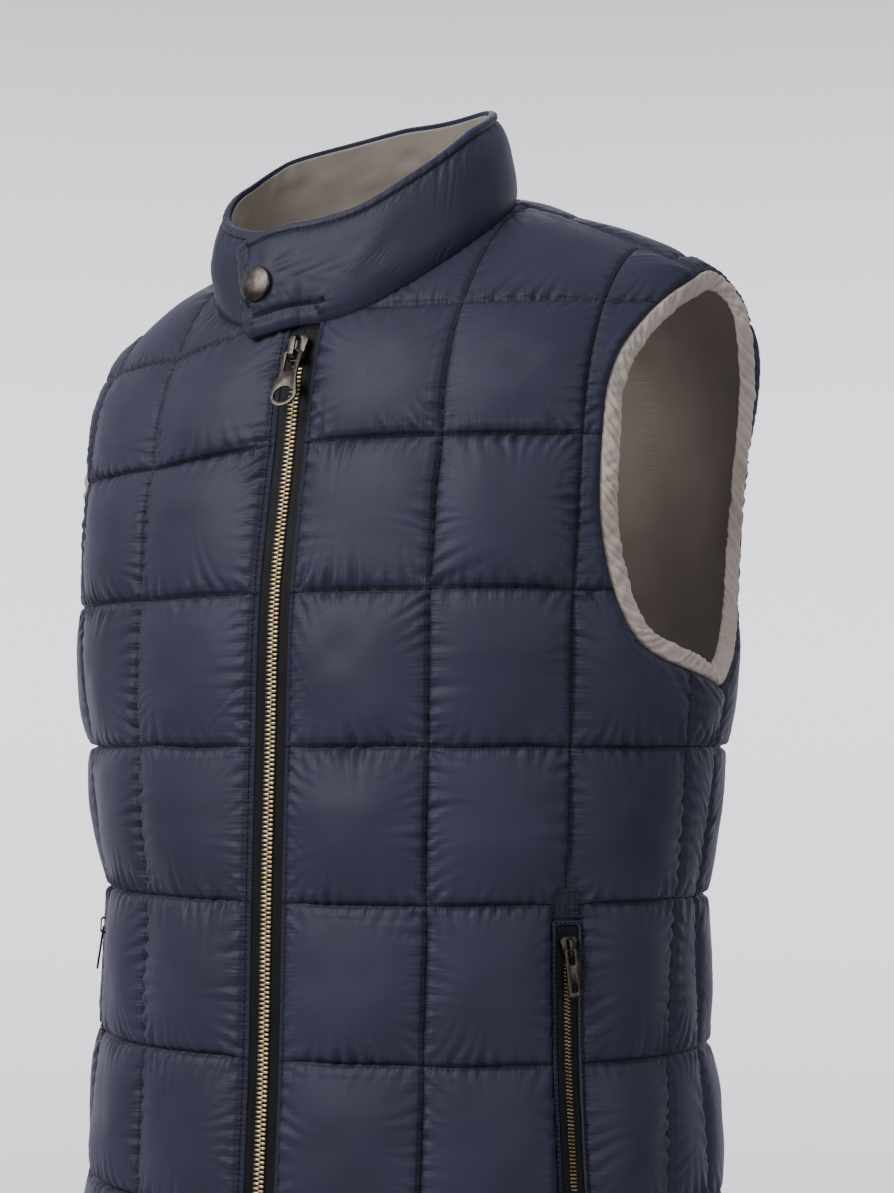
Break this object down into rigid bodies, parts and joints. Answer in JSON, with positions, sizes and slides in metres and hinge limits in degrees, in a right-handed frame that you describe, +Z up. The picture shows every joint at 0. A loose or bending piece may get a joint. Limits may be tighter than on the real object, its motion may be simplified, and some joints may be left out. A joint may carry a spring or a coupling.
{
  "type": "quilted down vest",
  "caption": "Sleeveless quilted down vest with a stand collar, snapped collar tab, front zip and slanted zip pockets, in the hollow form it has when worn.",
  "frame": {"origin": "midway between the shoulders, at the height of the shoulder line beside the neck, where the wearer's shoulders hold the vest", "axes": "+Z up; -Y the way the wearer faces, the zip side; +X to the wearer's left"},
  "size_m": [0.4446, 0.3044, 0.7259],
  "materials": {
    "navy_nylon": "soft sheen",
    "grey_lining": "matt",
    "black_tape": "satin",
    "gunmetal": "satin",
    "dark_metal": "satin"
  },
  "bodies": {
    "vest": {"front_left": "navy_nylon", "front_right": "navy_nylon", "back": "navy_nylon", "collar": "navy_nylon", "pocket_frame_left": "navy_nylon", "pocket_frame_right": "navy_nylon", "collar_lining": "grey_lining", "armhole_facing_left": "grey_lining", "armhole_facing_right": "grey_lining", "zip_tape_left": "black_tape", "zip_tape_right": "black_tape", "pocket_tape_left": "black_tape", "pocket_tape_right": "black_tape", "zip_slider": "gunmetal", "zip_box": "gunmetal", "snap_cap": "gunmetal", "snap_back": "gunmetal", "pocket_slider_left": "dark_metal", "pocket_slider_right": "dark_metal"},
    "zip_pull_tab": {"zip_pull": "gunmetal"},
    "pocket_pull_tab_left": {"pocket_pull_left": "dark_metal"},
    "pocket_pull_tab_right": {"pocket_pull_right": "dark_metal"}
  },
  "joints": [
    {"name": "zip_pull_hinge", "type": "hinge", "parent": "vest", "child": "zip_pull_tab", "pos_m": [0, -0.13073, -0.10642], "axis": [-1, 0, 0], "range_deg": [0, 110]},
    {"name": "pocket_pull_hinge_left", "type": "hinge", "parent": "vest", "child": "pocket_pull_tab_left", "pos_m": [0.15666, -0.09436, -0.44064], "axis": [-0.6393, -0.7671, -0.0532], "range_deg": [0, 110]},
    {"name": "pocket_pull_hinge_right", "type": "hinge", "parent": "vest", "child": "pocket_pull_tab_right", "pos_m": [-0.16129, -0.09436, -0.44064], "axis": [-0.6393, 0.7671, 0.0532], "range_deg": [0, 110]}
  ]
}
